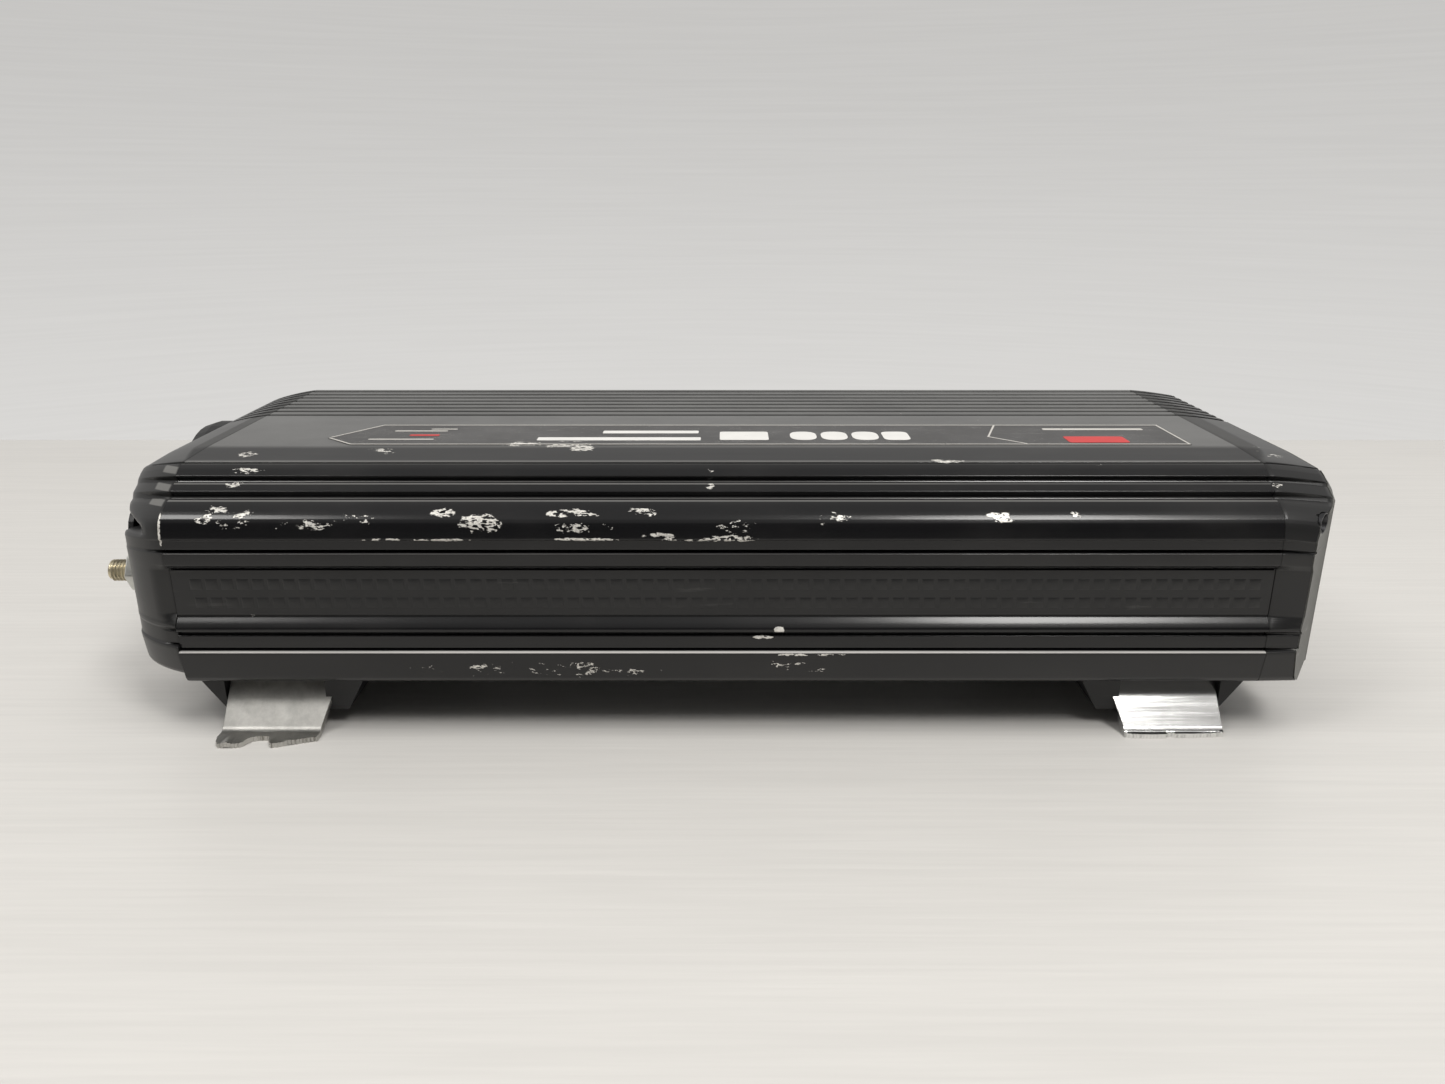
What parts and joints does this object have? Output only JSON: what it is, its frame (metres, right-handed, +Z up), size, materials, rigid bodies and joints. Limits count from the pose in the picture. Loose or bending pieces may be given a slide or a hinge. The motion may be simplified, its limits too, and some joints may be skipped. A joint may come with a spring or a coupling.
{
  "type": "dc-to-ac power inverter",
  "caption": "Portable DC-to-AC power inverter: finned black aluminium body, end caps, battery studs with fan at one end, outlets and switch at the other, slotted metal feet.",
  "frame": {"origin": "centre of the bounding box in plan, on the plane the feet rest on", "axes": "+Z up; X along the body with the battery studs at -X and the outlets at +X; the long side nearest the label is -Y"},
  "size_m": [0.4282, 0.185, 0.0938],
  "materials": {
    "black_coat": "satin black coat over aluminium, chipped at the fins",
    "dark_plastic": "fine matt",
    "grey_plastic": "fine matt grey",
    "label_film": "thin dark film",
    "bare_steel": "bright sheet steel",
    "zinc_brass": "yellow passivated",
    "dark_steel": "dark coat",
    "red_plastic": "smooth red",
    "pale_plastic": "smooth pale",
    "window_clear": "dark glossy window",
    "board_green": "solder resist",
    "copper": "bare copper",
    "ferrite": "sintered",
    "coil_tape": "winding tape",
    "sink_metal": "mill finish",
    "can_sleeve": "shrink sleeve"
  },
  "bodies": {
    "body": {"housing": "black_coat", "bottom_plate": "black_coat", "label_plate": "label_film", "side_grille_near": "dark_plastic", "side_grille_far": "dark_plastic", "dc_end_cap": "dark_plastic", "dc_end_panel": "dark_steel", "negative_collar": "dark_plastic", "positive_collar": "red_plastic", "negative_stud": "zinc_brass", "positive_stud": "zinc_brass", "negative_washer": "bare_steel", "positive_washer": "bare_steel", "negative_nut": "bare_steel", "positive_nut": "bare_steel", "earth_screw": "bare_steel", "fan_frame": "dark_plastic", "fan_hood": "dark_plastic", "ac_end_cap": "dark_plastic", "ac_face": "grey_plastic", "outlet_1": "dark_plastic", "outlet_2": "dark_plastic", "outlet_3": "dark_plastic", "rocker_bezel": "dark_plastic", "display_window": "window_clear", "usb_port": "dark_plastic", "breaker_ring": "dark_plastic", "remote_jack": "dark_plastic", "face_screw_near_low": "dark_steel", "face_screw_near_high": "dark_steel", "face_screw_far_low": "dark_steel", "face_screw_far_high": "dark_steel", "foot_block_dc": "dark_plastic", "foot_block_ac": "dark_plastic", "foot_dc_near": "bare_steel", "foot_dc_far": "bare_steel", "foot_ac_near": "bare_steel", "foot_ac_far": "bare_steel", "main_board": "board_green", "board_post_1": "zinc_brass", "board_post_2": "zinc_brass", "board_post_3": "zinc_brass", "board_post_4": "zinc_brass", "negative_strap": "copper", "positive_strap": "copper", "input_capacitor_1": "can_sleeve", "input_capacitor_2": "can_sleeve", "input_capacitor_3": "can_sleeve", "transformer_core_1": "ferrite", "transformer_core_2": "ferrite", "transformer_coil_1": "coil_tape", "transformer_coil_2": "coil_tape", "heat_rail_near": "sink_metal", "heat_rail_far": "sink_metal", "output_choke": "copper"},
    "rotor": {"fan_rotor": "dark_plastic"},
    "rocker": {"power_rocker": "red_plastic"},
    "display_key": {"display_button": "pale_plastic"},
    "breaker_key": {"breaker_button": "red_plastic"}
  },
  "joints": [
    {"name": "fan_spin", "type": "hinge", "parent": "body", "child": "rotor", "pos_m": [-0.18365, 0.026, 0.0555], "axis": [1, 0, 0], "continuous": true},
    {"name": "rocker_tilt", "type": "hinge", "parent": "body", "child": "rocker", "pos_m": [0.20785, 0.05, 0.068], "axis": [0, 0, -1], "range_deg": [0, 16]},
    {"name": "display_press", "type": "slide", "parent": "body", "child": "display_key", "axis": [-1, 0, 0], "range_m": [0, 0.0012], "stiffness_N_per_m": 400, "springref_m": -0.001},
    {"name": "breaker_press", "type": "slide", "parent": "body", "child": "breaker_key", "axis": [-1, 0, 0], "range_m": [0, 0.0018], "stiffness_N_per_m": 600, "springref_m": -0.001}
  ]
}
